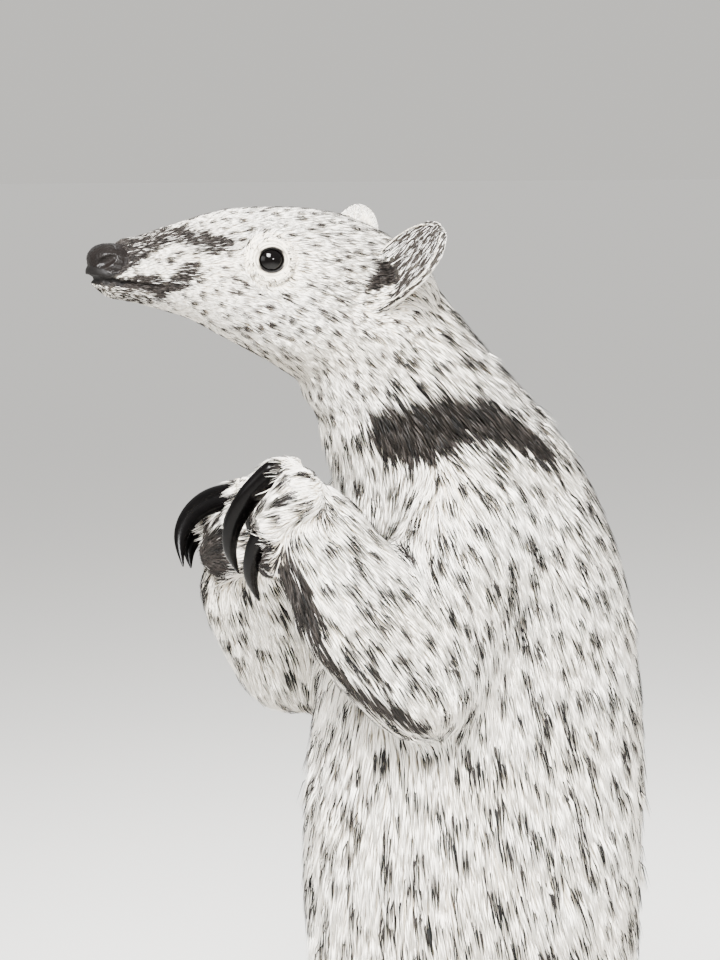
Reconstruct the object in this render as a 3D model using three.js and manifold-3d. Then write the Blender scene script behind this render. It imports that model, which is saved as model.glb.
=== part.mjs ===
// A southern tamandua, a small tree anteater, sitting up on its hind feet and tail with its hands folded.
// Millimetres, +Z up. It looks along -Y and its left side is +X. The floor is z = 0.
import * as THREE from "three";
import { mergeVertices } from "three/addons/utils/BufferGeometryUtils.js";
import Module from "manifold-3d";

const wasm = await Module();
wasm.setup();

// Driving sizes of the animal, over its coat.
const CROWN_HEIGHT = 489; // floor to the top of the head
const HEAD_LENGTH = 140; // nose tip to the back of the skull
const NOSE_REACH = 160; // nose tip in front of the hips
const EYE_RADIUS = 7;
const EAR_LENGTH = 48;
const EAR_WIDTH = 27;
const FORE_CLAW = 55; // the third finger's claw, along its curve
const HIND_CLAW = 18;
const TAIL_TIP = 478; // how far behind the hips the tail ends
const GAP = 0.3; // between two pieces that touch
const FLOOR_PRESS = 1.5; // how much of a sole or of the tail is flattened by the floor

const UP = new THREE.Vector3(0, 0, 1);
const vec = (x, y, z) => new THREE.Vector3(x, y, z);
const between = (a, b, share) => a.clone().lerp(b, share);
const times = (count, make) => Array.from({ length: count }, (_, k) => make(k));

const coat = new THREE.MeshStandardMaterial({ color: 0xe6dcc4, roughness: 0.85, metalness: 0 });
const dark_skin = new THREE.MeshStandardMaterial({ color: 0x4b3f3a, roughness: 0.6, metalness: 0 });
const claw_horn = new THREE.MeshStandardMaterial({ color: 0x17130f, roughness: 0.35, metalness: 0 });
const eye_gloss = new THREE.MeshStandardMaterial({ color: 0x080605, roughness: 0.05, metalness: 0 });

// ---- Solids: how a form is made, cut and added.

// A closed geometry as a solid that can be joined and cut.
function solid(geometry) {
  const bare = new THREE.BufferGeometry().setAttribute("position", geometry.getAttribute("position"));
  if (geometry.index) bare.setIndex(geometry.index);
  const merged = mergeVertices(bare, 1e-4);
  const mesh = new wasm.Mesh({
    numProp: 3,
    vertProperties: merged.attributes.position.array,
    triVerts: new Uint32Array(merged.index.array),
  });
  return new wasm.Manifold(mesh);
}

// A solid from a list of points and the corners of its triangles.
function solidOf(points, index) {
  const flat = new Float32Array(points.flatMap((p) => [p.x, p.y, p.z]));
  const position = new THREE.BufferAttribute(flat, 3);
  return solid(new THREE.BufferGeometry().setAttribute("position", position).setIndex(index));
}

// What lies in front of the plane through a point, and half a gap off it.
function inFrontOf(made, point, facing) {
  const n = facing.clone().normalize();
  return made.trimByPlane(n.toArray(), point.dot(n) + GAP / 2);
}

const behind = (made, point, facing) => inFrontOf(made, point, facing.clone().negate());
const aboveFloor = (made) => made.trimByPlane([0, 0, 1], 0);

// A closed skin over rings of points, each end drawn together at one point.
function skinOver(rings, first, last) {
  const around = rings[0].length;
  const index = [];
  const id = (ring, k) => 1 + ring * around + ((k + around) % around);
  const end = 1 + rings.length * around;
  for (let k = 0; k < around; k++) {
    index.push(0, id(0, k), id(0, k + 1));
    index.push(end, id(rings.length - 1, k + 1), id(rings.length - 1, k));
    for (let ring = 0; ring + 1 < rings.length; ring++) {
      const [a, b] = [id(ring, k), id(ring + 1, k)];
      const [c, d] = [id(ring, k + 1), id(ring + 1, k + 1)];
      index.push(a, b, d, a, d, c);
    }
  }
  return solidOf([first, ...rings.flat(), last], index);
}

// A station of a sweep: its centre, half its width, and how far it reaches above and below.
const round = (at, wide, top = wide, under = top) => ({ at, wide, top, under });

// A form swept through stations, where `up` says which way is above. Each end is a dome, as long
// as `dome` times the half width there and made of `caps` rings. `grow` makes the form larger all over.
function sweep(stations, { up = UP, around = 14, steps = 2, dome = [0.8, 0.8], caps = 3, grow = 0 }) {
  const line = new THREE.CatmullRomCurve3(stations.map((s) => s.at), false, "centripetal");
  const size = new THREE.CatmullRomCurve3(stations.map((s) => vec(s.wide, s.top, s.under)));
  const count = (stations.length - 1) * steps;
  const ringAt = (t, shrink, ahead) => {
    const along = line.getTangent(t);
    const across = along.clone().cross(up).normalize();
    const over = across.clone().cross(along).normalize();
    const centre = line.getPoint(t).addScaledVector(along, ahead);
    const { x: wide, y: top, z: under } = size.getPoint(t);
    return times(around, (k) => {
      const turn = (2 * Math.PI * (k + 0.5)) / around;
      const reach = (turn < Math.PI ? top : under) + grow;
      return centre
        .clone()
        .addScaledVector(across, (wide + grow) * shrink * Math.cos(turn))
        .addScaledVector(over, reach * shrink * Math.sin(turn));
    });
  };
  const domeTurns = times(caps, (k) => ((k + 1) / (caps + 1)) * (Math.PI / 2));
  const [before, after] = [stations[0].wide * dome[0] + grow, stations.at(-1).wide * dome[1] + grow];
  const rings = [
    ...domeTurns.toReversed().map((turn) => ringAt(0, Math.cos(turn), -before * Math.sin(turn))),
    ...times(count + 1, (k) => ringAt(k / count, 1, 0)),
    ...domeTurns.map((turn) => ringAt(1, Math.cos(turn), after * Math.sin(turn))),
  ];
  const first = line.getPoint(0).addScaledVector(line.getTangent(0), -before);
  const last = line.getPoint(1).addScaledVector(line.getTangent(1), after);
  return skinOver(rings, first, last);
}

// An egg with its own half sizes, turned about X by `pitch`.
function egg(centre, half, pitch = 0, around = 14) {
  const shape = new THREE.SphereGeometry(1, around, Math.round(around * 0.7));
  shape.scale(half.x, half.y, half.z).rotateX(pitch).translate(centre.x, centre.y, centre.z);
  return solid(shape);
}

const ball = (centre, radius, around) => egg(centre, vec(radius, radius, radius), 0, around);

// A flat outline in (Y, Z) or (across, Z) drawn out along +X from `from` to `to`.
function slab(outline, from, to) {
  const bar = new THREE.ExtrudeGeometry(outline, { depth: to - from, bevelEnabled: false, curveSegments: 8 });
  return solid(bar.rotateX(Math.PI / 2).rotateZ(Math.PI / 2).translate(from, 0, 0));
}

const animal = new THREE.Group();

// Adds a solid as a named mesh placed by its root, without any scrap that a cut left over.
function addNode(name, made, root, material) {
  const whole = made.decompose().reduce((a, b) => (b.volume() > a.volume() ? b : a));
  const { vertProperties, triVerts, numProp } = whole.getMesh();
  const flat = new Float32Array((vertProperties.length / numProp) * 3);
  for (let i = 0; i * 3 < flat.length; i++)
    root.toArray().forEach((offset, axis) => {
      flat[i * 3 + axis] = vertProperties[i * numProp + axis] - offset;
    });
  const geometry = new THREE.BufferGeometry()
    .setAttribute("position", new THREE.BufferAttribute(flat, 3))
    .setIndex(new THREE.BufferAttribute(triVerts, 1));
  geometry.computeVertexNormals();
  const mesh = new THREE.Mesh(geometry, material);
  mesh.name = name;
  mesh.position.copy(root);
  animal.add(mesh);
}

// Adds a piece of the left side, or its mirror image on the right.
function addSided(name, side, made, root, material) {
  const left = side === "left";
  const place = left ? root : vec(-root.x, root.y, root.z);
  addNode(`${name}_${side}`, left ? made : made.mirror([1, 0, 0]), place, material);
}

// ---- The trunk: one sweep from the muzzle over the neck and down the back to the rump.
const MUZZLE_HEIGHT = CROWN_HEIGHT - 28;
const head = (share, drop, ...size) =>
  round(vec(0, HEAD_LENGTH * share - NOSE_REACH, MUZZLE_HEIGHT - drop), ...size);
const torso = (back, share, ...size) => round(vec(0, back, CROWN_HEIGHT * share), ...size);
const SPINE = [
  head(0.05, 0.5, 9.5, 10, 9.5),
  head(0.11, 0, 11.5, 13.5, 11),
  head(0.21, -0.5, 14.5, 17.5, 15),
  head(0.32, -0.5, 18, 22.5, 19.5),
  head(0.43, 0.5, 22.5, 27.5, 26),
  head(0.55, 3, 27.5, 31, 30.5),
  head(0.69, 9, 32.5, 36, 34),
  head(0.85, 21, 35.5, 37, 36.5),
  torso(-24, 0.85, 39.5, 37, 40),
  torso(-7, 0.795, 44, 45, 48),
  torso(5, 0.735, 50, 58, 57),
  torso(11, 0.665, 57, 68, 64),
  torso(13, 0.585, 62, 73, 71),
  torso(14, 0.5, 66, 74, 76),
  torso(14, 0.415, 67, 72, 78),
  torso(15, 0.33, 65, 71, 75),
  torso(19, 0.245, 59, 67, 64),
  torso(26, 0.17, 48, 54, 47),
];
const BACK = vec(0, 1, 1); // above the head and behind the body
const trunkForm = (grow) => sweep(SPINE, { up: BACK, around: 24, dome: [0.7, 0.5], grow });
const trunkWhole = trunkForm(0);
const trunkGrown = trunkForm(GAP);
const HEAD_CUT = { at: vec(0, -33, 0.88 * CROWN_HEIGHT), facing: vec(0, -0.72, 0.69) };
const TRUNK_CUTS = [
  { name: "neck", at: vec(0, 3, 0.755 * CROWN_HEIGHT), facing: vec(0, -0.25, 0.97) },
  { name: "chest", at: vec(0, 13, 0.55 * CROWN_HEIGHT), facing: vec(0, -0.05, 1) },
  { name: "belly", at: vec(0, 13, 0.33 * CROWN_HEIGHT), facing: vec(0, 0.02, 1) },
];
let below = behind(trunkWhole, HEAD_CUT.at, HEAD_CUT.facing);
for (const { name, at, facing } of TRUNK_CUTS) {
  addNode(name, inFrontOf(below, at, facing), at, coat);
  below = behind(below, at, facing);
}
addNode("rump", below, TRUNK_CUTS.at(-1).at, coat);

// ---- The head: eyes between lids, the nose pad and its nostrils, and the mouth.
const EYE = vec(20.8, -89, CROWN_HEIGHT - 22);
const LID_THICKNESS = 1.5;
const eyeBall = (grow) => ball(EYE, EYE_RADIUS + grow, 14);

// The slit between the lids, as a bar that points out of the socket and a little forward.
function lidOpening() {
  const almond = new THREE.Shape().absellipse(0, 0, 6.2, 5.4, 0, 2 * Math.PI);
  return slab(almond, 0, 20).rotate([0, 0, -10]).translate(EYE.toArray());
}

const NOSE = vec(0, 10.1 - NOSE_REACH, MUZZLE_HEIGHT + 5.6);
const nosePad = (grow) => egg(NOSE, vec(10.8 + grow, 9.6 + grow, 7.1 + grow), -0.2, 16);

// A comma-shaped nostril, from the front of the pad back round its side.
function nostril() {
  const path = [[6.4, -8.6, -1.6, 1.3], [8.6, -5.8, -0.5, 2.4], [10.3, -3.2, 1.2, 2.2], [11.4, 0.8, 3.4, 0.8]];
  const stations = path.map(([x, y, z, r]) => round(vec(x, y, z).add(NOSE), r));
  return sweep(stations, { around: 8, caps: 1 });
}

// The mouth: a thin wedge between the lips that closes to a line at its corners.
function mouthSlit() {
  const lip = MUZZLE_HEIGHT - 1.5;
  const corners = [[-5, 1.4], [-5, -1.2], [12, -1.4], [32, -4.2], [12, 0.5]];
  const outline = new THREE.Shape(corners.map(([y, z]) => new THREE.Vector2(y - NOSE_REACH, lip + z)));
  return slab(outline, -30, 30);
}

// An ear as a cupped leaf: its root is rolled almost shut and its tip is open and round.
const EAR = {
  left: { root: vec(28.5, -47, CROWN_HEIGHT - 36), axis: vec(0.42, 0.64, 0.64), opening: vec(0.45, -0.82, 0.35) },
  right: { root: vec(28.5, -40, CROWN_HEIGHT - 33), axis: vec(0.37, 0.56, 0.74), opening: vec(1, 0, 0.2) },
};
const EAR_WALL = 2.4;
function earLeaf({ root, axis, opening }) {
  axis.normalize();
  const facing = opening.projectOnPlane(axis).normalize();
  const across = axis.clone().cross(facing);
  const [rows, columns] = [9, 8];
  const point = (row, column, inset) => {
    const share = 1 - (1 - row / rows) ** 1.6 * 0.99;
    const bulge = share < 0.55 ? 1 - 0.45 * (1 - share / 0.55) ** 2 : Math.sqrt(1 - ((share - 0.55) / 0.46) ** 2);
    const half = (EAR_WIDTH / 2) * bulge;
    const cup = THREE.MathUtils.lerp(9, 4, share) * Math.sqrt(bulge); // how deep the leaf is hollowed
    const thin = Math.min(inset, half * 0.4);
    const over = (2 * column) / columns - 1;
    return root
      .clone()
      .addScaledVector(axis, EAR_LENGTH * (share - 0.16) - thin * share)
      .addScaledVector(across, (half - 0.6 * thin) * Math.sin((over * Math.PI) / 2))
      .addScaledVector(facing, thin - cup * Math.cos((over * Math.PI) / 2) + 3 * share ** 2);
  };
  const grid = (inset) => times((rows + 1) * (columns + 1), (k) =>
    point(Math.floor(k / (columns + 1)), k % (columns + 1), inset),
  );
  const wide = columns + 1;
  const inner = (rows + 1) * wide;
  const index = [];
  const quad = (a, b, c, d) => index.push(a, c, b, a, d, c);
  for (let row = 0; row < rows; row++)
    for (let column = 0; column < columns; column++) {
      const a = row * wide + column;
      quad(a, a + 1, a + wide + 1, a + wide);
      quad(inner + a, inner + a + wide, inner + a + wide + 1, inner + a + 1);
    }
  for (let row = 0; row < rows; row++) {
    const [a, b] = [row * wide, row * wide + columns];
    quad(a, a + wide, inner + a + wide, inner + a);
    quad(b + wide, b, inner + b, inner + b + wide);
  }
  for (let column = 0; column < columns; column++) {
    const [a, b] = [column, rows * wide + column];
    quad(a + 1, a, inner + a, inner + a + 1);
    quad(b, b + 1, inner + b + 1, inner + b);
  }
  return solidOf([...grid(0), ...grid(EAR_WALL)], index);
}

const lids = egg(EYE, vec(EYE_RADIUS + LID_THICKNESS, EYE_RADIUS + 2.3, EYE_RADIUS + LID_THICKNESS), 0, 14)
  .subtract(eyeBall(GAP))
  .subtract(lidOpening());
const socket = eyeBall(GAP).add(lidOpening());
const CHIN = { at: vec(0, 8.2 - NOSE_REACH, MUZZLE_HEIGHT - 10), facing: vec(0, -0.8, -0.6) };
let skull = behind(inFrontOf(trunkWhole, HEAD_CUT.at, HEAD_CUT.facing), CHIN.at, CHIN.facing)
  .subtract(nosePad(GAP))
  .subtract(mouthSlit());
let nose = nosePad(0);
for (const mirror of [(made) => made, (made) => made.mirror([1, 0, 0])]) {
  skull = skull.subtract(mirror(socket)).add(mirror(lids));
  nose = nose.subtract(mirror(nostril()));
}
addNode("head", skull, HEAD_CUT.at, coat);
addNode("nose", nose, NOSE, dark_skin);
for (const side of ["left", "right"]) {
  addSided("eye", side, eyeBall(0), EYE, eye_gloss);
  addSided("ear", side, earLeaf(EAR[side]).subtract(trunkGrown), EAR[side].root, coat);
}

// ---- A claw: an arc that starts along `ahead` and turns towards `down`, rooted in the flesh.
function alongClaw({ base, ahead, down, length, start, turn }, share) {
  const radius = length / turn;
  const angle = start + turn * share;
  return base
    .clone()
    .addScaledVector(ahead, radius * (Math.sin(angle) - Math.sin(start)))
    .addScaledVector(down, radius * (Math.cos(start) - Math.cos(angle)));
}

function claw({ around = 8, steps = 2, ...shape }, grow = 0) {
  const stations = times(5, (k) => {
    const share = k * 0.27 - 0.08;
    const half = (shape.height / 2 - 0.5) * (1 - THREE.MathUtils.clamp(share, 0, 1)) ** 0.75 + 0.5;
    return round(alongClaw(shape, share), half, half * 0.64);
  });
  return sweep(stations, { up: shape.ahead.clone().cross(shape.down), around, steps, dome: [0.4, 1], caps: 1, grow });
}

// ---- The arms: raised in front of the chest and bent sharply, with the claws folded over the palm.
const SHOULDER = vec(38, 0, 360);
const SHOULDER_BLADE = vec(17, 6, 386);
const ARM = {
  left: {
    elbow: vec(62, -38, 292),
    wrist: vec(42, -82, 362),
    knuckles: vec(43, -98, 380.5),
    heel: vec(40, -98, 344),
    curl: { start: 0.5, turn: 1.42, stretch: [1, 1, 1, 1.03], forward: [0, 0, 0, 0.8] },
    fullness: 6, // how far the lower side of the forearm swells, as the near arm's does
  },
  right: {
    elbow: vec(62, -46, 283),
    wrist: vec(38, -84, 348),
    knuckles: vec(38, -83, 364),
    heel: vec(34, -94.5, 336),
    curl: { start: -0.42, turn: 1.85, stretch: [0.88, 0.88, 0.88, 0.6], forward: [0, 0, 0, 7] },
    fullness: 0,
  },
};
const HAND_OUT = vec(0.82, 0.1, -0.56).normalize(); // across the knuckles, away from the body
const HAND_AHEAD = vec(-0.1, -0.95, -0.3).projectOnPlane(HAND_OUT).normalize();
const HAND_DOWN = HAND_OUT.clone().cross(HAND_AHEAD); // from the knuckles to the palm
const FINGERS = [
  { out: -18, back: 15, lower: 19, size: 0.4, height: 6.5, sheath: 0 },
  { out: -11.5, back: 9, lower: 10.5, size: 0.7, height: 11, sheath: 0 },
  { out: 0, back: 0, lower: 0, size: 1, height: 15.5, sheath: 0 },
  { out: 15, back: 4, lower: 3, size: 0.99, height: 15.8, sheath: 0.22 },
]; // sheath: how much of the claw's length the flesh of the finger runs along
const LOOK_OUT = vec(1, 0.4, 0.2); // the flat side of an arm or a leg faces this way
const LOWER_ARM = [
  { share: 0, size: [26, 19, 22], swell: 0 },
  { share: 0.3, size: [28, 20, 22], swell: 0.7 },
  { share: 0.5, size: [28, 20, 21], swell: 1 },
  { share: 0.7, size: [27, 20, 20], swell: 0.4 },
  { share: 1, size: [25, 18, 18], swell: 0 },
]; // share: how far from the elbow to the wrist; swell: how much of the arm's fullness it takes

function arm({ elbow, wrist, knuckles, heel, curl, fullness }) {
  const upper = [
    round(SHOULDER_BLADE, 27, 15, 20),
    round(SHOULDER, 36, 21, 30),
    round(between(SHOULDER, elbow, 0.35), 37, 22, 30),
    round(between(SHOULDER, elbow, 0.7), 32, 21, 28),
    round(elbow, 26, 19, 22),
  ];
  const underside = LOOK_OUT.clone().cross(wrist.clone().sub(elbow)).normalize();
  const lower = LOWER_ARM.map(({ share, size: [wide, ...thick], swell }) => {
    const more = (fullness * swell) / 2;
    return round(between(elbow, wrist, share).addScaledVector(underside, more), wide + more, ...thick);
  });
  const fingers = FINGERS.map(({ out, back, lower, size, ...girth }, k) => {
    const base = knuckles
      .clone()
      .addScaledVector(HAND_OUT, out)
      .addScaledVector(HAND_AHEAD, curl.forward[k] - back)
      .addScaledVector(HAND_DOWN, lower);
    const [length, turn] = [FORE_CLAW * size * curl.stretch[k], curl.turn * size ** 0.4];
    return { base, ahead: HAND_AHEAD, down: HAND_DOWN, length, start: curl.start, turn, ...girth };
  });
  const palm = [
    round(knuckles.clone().addScaledVector(HAND_AHEAD, -11).addScaledVector(HAND_DOWN, 8), 20, 10, 13),
    round(between(knuckles, heel, 0.5).addScaledVector(HAND_AHEAD, -9).addScaledVector(HAND_OUT, -3), 21, 12, 15),
    round(heel.clone().addScaledVector(HAND_AHEAD, -7).addScaledVector(HAND_OUT, -2), 17, 12, 14),
  ];
  const handForm = (grow) =>
    fingers.reduce(
      (hand, finger) => {
        const { base, height, sheath } = finger;
        const knuckle = base.clone().addScaledVector(HAND_AHEAD, -5).addScaledVector(HAND_DOWN, 2);
        const knuckled = hand.add(ball(knuckle, height * 0.6 + grow, 10));
        if (!sheath) return knuckled;
        const stations = [-0.4, 0.3, 1].map((share) => round(alongClaw(finger, sheath * share), height * 0.6));
        return knuckled.add(sweep(stations, { around: 12, steps: 1, grow }));
      },
      sweep(palm, { up: HAND_AHEAD, dome: [0.35, 0.6], grow }),
    );
  const bend = SHOULDER.clone().sub(elbow).normalize().sub(wrist.clone().sub(elbow).normalize());
  const shape = { up: LOOK_OUT, around: 16, dome: [0.8, 0.7], caps: 2 };
  const reach = wrist.clone().sub(elbow).normalize().add(HAND_AHEAD);
  const forearm = behind(behind(sweep(lower, shape), elbow, bend), palm[1].at, reach)
    .subtract(trunkGrown)
    .subtract(handForm(GAP));
  return {
    upper_arm: [inFrontOf(sweep(upper, shape), elbow, bend).subtract(trunkGrown), SHOULDER],
    forearm: [forearm, elbow],
    hand: [fingers.reduce((hand, finger) => hand.subtract(claw(finger, GAP)), handForm(0)), wrist],
    claws: fingers.map((finger) => [claw(finger), finger.base]),
  };
}

for (const side of ["left", "right"]) {
  const { claws, ...flesh } = arm(ARM[side]);
  for (const [name, [made, root]] of Object.entries(flesh)) addSided(name, side, made, root, coat);
  claws.forEach(([made, root], k) => addSided(`fore_claw_${k + 1}`, side, made, root, claw_horn));
}

// ---- The tail: from the rump down to the floor and back along it, thick at its root.
const tailRadius = (y) => THREE.MathUtils.lerp(30, 5, ((y - 50) / (TAIL_TIP - 50)) ** 0.7);
const TAIL_START = [round(vec(0, 44, 100), 36), round(vec(0, 80, 66), 31), round(vec(1, 112, 36), 26)];
const TAIL_ON_FLOOR = [[4, 150], [11, 200], [20, 260], [26, 325], [24, 390], [12, 440], [-6, TAIL_TIP - 6]];
const tailStations = [
  ...TAIL_START,
  ...TAIL_ON_FLOOR.map(([x, y]) => round(vec(x, y, tailRadius(y) - FLOOR_PRESS), tailRadius(y))),
];
const TAIL_CUTS = [
  { at: vec(4, 150, 15), facing: vec(0.1, 1, 0) },
  { at: vec(20, 265, 12), facing: vec(0.12, 1, 0) },
  { at: vec(25, 375, 8), facing: vec(-0.08, 1, 0) },
];
const tailForm = (grow) => sweep(tailStations, { up: vec(0, 0.4, 1), dome: [0.5, 1.2], grow });
const tailGrown = tailForm(GAP);

// ---- The legs: thighs forward, shins folded back under them, flat feet.
const HIP = vec(31, 24, 120);
const KNEE = vec(80, -40, 104);
const ANKLE = vec(67, 18, 34);
const FOOT = [
  round(vec(64, 40, 14.5), 9.5, 9, 15),
  round(vec(64.5, 29, 15.5), 13.5, 13, 17),
  round(vec(66, 10, 16), 16, 15, 17.5),
  round(vec(70, -15, 14), 17.5, 13, 15.5),
  round(vec(74, -38, 11), 19, 10.5, 12.5),
];
const TOES = times(5, (k) => ({ out: (k - 2) * 7.2, back: 1.6 * (k - 2) ** 2, spread: (k - 2) * 0.09 }));

function leg() {
  const thigh = [
    round(HIP, 46, 50, 62),
    round(between(HIP, KNEE, 0.4), 41, 47, 54),
    round(between(HIP, KNEE, 0.75), 33, 37, 40),
    round(KNEE, 26, 27, 27),
  ];
  const shin = [
    round(KNEE, 28, 23),
    round(between(KNEE, ANKLE, 0.35), 26, 22),
    round(between(KNEE, ANKLE, 0.75), 20, 18),
    round(ANKLE, 16, 15),
  ];
  const forward = FOOT.at(-1).at.clone().sub(FOOT[0].at).setZ(0).normalize();
  const outward = forward.clone().cross(UP).negate();
  const toes = TOES.map(({ out, back, spread }) => {
    const ahead = forward.clone().applyAxisAngle(UP, spread);
    const base = FOOT.at(-1).at.clone().addScaledVector(outward, out).addScaledVector(forward, 15 - back).setZ(7.5);
    const bend = { start: -0.25, turn: 0.75, around: 6, steps: 1 };
    return { base, ahead, down: vec(0, 0, -1), length: HIND_CLAW, height: 6, ...bend };
  });
  const footForm = (grow) =>
    toes.reduce(
      (foot, { base, ahead }) => foot.add(ball(base.clone().addScaledVector(ahead, -5).setZ(6), 7.2 + grow, 8)),
      sweep(FOOT, { dome: [0.9, 0.5], caps: 2, grow }),
    );
  const bend = HIP.clone().sub(KNEE).normalize().sub(ANKLE.clone().sub(KNEE).normalize());
  return {
    thigh: [
      inFrontOf(sweep(thigh, { around: 18, dome: [0.5, 0.8] }), KNEE, bend).subtract(trunkGrown).subtract(tailGrown),
      HIP,
    ],
    shin: [
      behind(sweep(shin, { up: LOOK_OUT, dome: [0.8, 0.5], caps: 2 }), KNEE, bend)
        .subtract(trunkGrown)
        .subtract(tailGrown)
        .subtract(footForm(GAP)),
      KNEE,
    ],
    foot: [toes.reduce((foot, toe) => foot.subtract(claw(toe, GAP)), aboveFloor(footForm(0))), ANKLE],
    claws: toes.map((toe) => [claw(toe), toe.base]),
  };
}

for (const side of ["left", "right"]) {
  const { claws, ...flesh } = leg();
  for (const [name, [made, root]] of Object.entries(flesh)) addSided(name, side, made, root, coat);
  claws.forEach(([made, root], k) => addSided(`hind_claw_${k + 1}`, side, made, root, claw_horn));
}

// ---- The tail's own pieces.
let tail = aboveFloor(tailForm(0)).subtract(trunkGrown);
TAIL_CUTS.forEach(({ at, facing }, k) => {
  addNode(`tail_${k + 1}`, behind(tail, at, facing), at, k > 1 ? dark_skin : coat);
  tail = inFrontOf(tail, at, facing);
});
addNode(`tail_${TAIL_CUTS.length + 1}`, tail, TAIL_CUTS.at(-1).at, dark_skin);

// The middle of the whole animal's box stands over the origin.
const bounds = new THREE.Box3().setFromObject(animal);
const middle = bounds.getCenter(new THREE.Vector3());
animal.position.set(-middle.x, -middle.y, -bounds.min.z);
const standing = new THREE.Group();
standing.add(animal);

export default standing;
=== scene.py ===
# %% [markdown]
# A southern tamandua, a small tree anteater, sitting up on its hind feet and tail with its hands folded.
# The solids of the frame reach out to the tips of its hair. Here they become a skin, a coat of short
# hair that lies flat, bare pads, horn claws and wet eyes. Sizes are in millimetres, from the hips.

import bmesh
import bpy
import numpy as np
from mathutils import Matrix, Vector
from mathutils.bvhtree import BVHTree
from mathutils.kdtree import KDTree


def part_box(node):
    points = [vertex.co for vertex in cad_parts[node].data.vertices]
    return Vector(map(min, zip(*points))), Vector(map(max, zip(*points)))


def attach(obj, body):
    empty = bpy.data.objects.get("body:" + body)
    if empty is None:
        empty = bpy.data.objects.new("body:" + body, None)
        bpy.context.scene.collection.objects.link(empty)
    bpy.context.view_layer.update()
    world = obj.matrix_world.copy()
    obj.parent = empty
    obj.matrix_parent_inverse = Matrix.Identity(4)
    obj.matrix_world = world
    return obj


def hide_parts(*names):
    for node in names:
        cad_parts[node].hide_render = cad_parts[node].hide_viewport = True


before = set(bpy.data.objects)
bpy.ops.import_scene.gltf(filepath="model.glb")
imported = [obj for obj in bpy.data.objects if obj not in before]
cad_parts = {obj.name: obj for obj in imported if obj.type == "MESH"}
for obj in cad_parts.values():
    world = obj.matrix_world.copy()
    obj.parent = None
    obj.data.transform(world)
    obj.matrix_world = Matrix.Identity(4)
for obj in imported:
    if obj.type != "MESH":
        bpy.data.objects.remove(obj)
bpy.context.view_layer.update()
MM = 0.001
EYE = np.array([20.8, -89.0, 467.0])
EYE_RADIUS = 7.0
HIPS = np.array([0.0, np.mean([corner[1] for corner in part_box("eye_left")]) / MM - EYE[1], 0.0])
print("hips at", HIPS.round(1), "mm;", len(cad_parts), "solids")

# %% [markdown]
# The camera comes first, because it decides what has to look right from close by. It stands as the
# picture's viewer does, to the animal's left and a little in front, just above the height of its chest.

# %% Place the camera
AZIMUTH, ELEVATION, DISTANCE = np.radians(68), np.radians(6), 1400
PIXELS_PER_MM, IMAGE_HEIGHT, SENSOR = 2.38, 960, 36
LOOK_AT = np.array([0, -40.8, 373])
LEVEL = np.array([np.sin(AZIMUTH), -np.cos(AZIMUTH), 0]) * np.cos(ELEVATION)
BACK = LEVEL + (0, 0, np.sin(ELEVATION))
camera = bpy.data.objects.new("camera", bpy.data.cameras.new("camera"))
camera.location = (LOOK_AT + HIPS + BACK * DISTANCE) * MM
camera.rotation_euler = Vector(BACK).to_track_quat("Z", "Y").to_euler()
camera.data.sensor_width = SENSOR
camera.data.lens = PIXELS_PER_MM * DISTANCE * SENSOR / IMAGE_HEIGHT
bpy.context.scene.collection.objects.link(camera)
bpy.context.scene.camera = camera
print("lens", round(camera.data.lens, 1), "mm")

# %% [markdown]
# The skin is one closed surface under the coat. The solids meet with a hair's gap, so each is grown a
# little until they run into each other, and a voxel remesh then wraps all of them in one even net. The
# head, hands and ears show most and get a finer net than the trunk. A boolean union joins the nets.

# %% Copy solids into one mesh
GROW = 0.5
TRUNK = ["neck", "chest", "belly", "rump", "tail_1", "tail_2", "tail_3", "tail_4"]
LIMBS = ["upper_arm", "forearm", "thigh", "shin"]
SIDES = ["left", "right"]


def sided(names):
    return [f"{name}_{side}" for name in names for side in SIDES]


def new_object(name, mesh):
    made = bpy.data.objects.new(name, mesh)
    bpy.context.scene.collection.objects.link(made)
    return made


def grown_copy(nodes, grow=GROW):
    mould = bmesh.new()
    for node in nodes:
        mould.from_mesh(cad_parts[node].data)
    bmesh.ops.remove_doubles(mould, verts=mould.verts, dist=1e-6)
    mould.normal_update()
    steps = [vertex.normal * grow * MM for vertex in mould.verts]
    for vertex, step in zip(mould.verts, steps):
        vertex.co += step
    return mould


def finished(name, mould):
    mesh = bpy.data.meshes.new(name)
    mould.to_mesh(mesh)
    mould.free()
    return new_object(name, mesh)


print("moulds grow by", GROW, "mm")

# %% [markdown]
# Blender's modifiers do the wrapping, and their result is kept as a plain mesh. Points are read and
# written as whole arrays, in millimetres from the hips, because numpy moves thousands of them at once.

# %% Wrap a net and read its points
def apply_modifiers(made):
    seen = made.evaluated_get(bpy.context.evaluated_depsgraph_get())
    mesh = bpy.data.meshes.new_from_object(seen)
    made.modifiers.clear()
    made.data = mesh
    return made


def voxelled(name, mould, voxel):
    made = finished(name, mould)
    net = made.modifiers.new("net", "REMESH")
    net.mode = "VOXEL"
    net.voxel_size = voxel * MM
    return apply_modifiers(made)


def read(items, name, columns=3, kind=float):
    flat = np.empty(len(items) * columns, dtype=kind)
    items.foreach_get(name, flat)
    return flat.reshape(-1, columns)


def places(mesh):
    return read(mesh.vertices, "co") / MM - HIPS


def put(mesh, spots):
    mesh.vertices.foreach_set("co", ((spots + HIPS) * MM).ravel())
    mesh.update()


print("head solid", len(places(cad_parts["head"].data)), "points")

# %% [markdown]
# The lips meet in a thin groove. Behind it lies the flesh of the mouth, so a slim core is added inside
# the muzzle before the net is wrapped round it. Otherwise light would pass between the jaws. The hollows
# behind the nose pad and the eyes are filled in the same way, so that the skin closes tightly round them.

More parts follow.
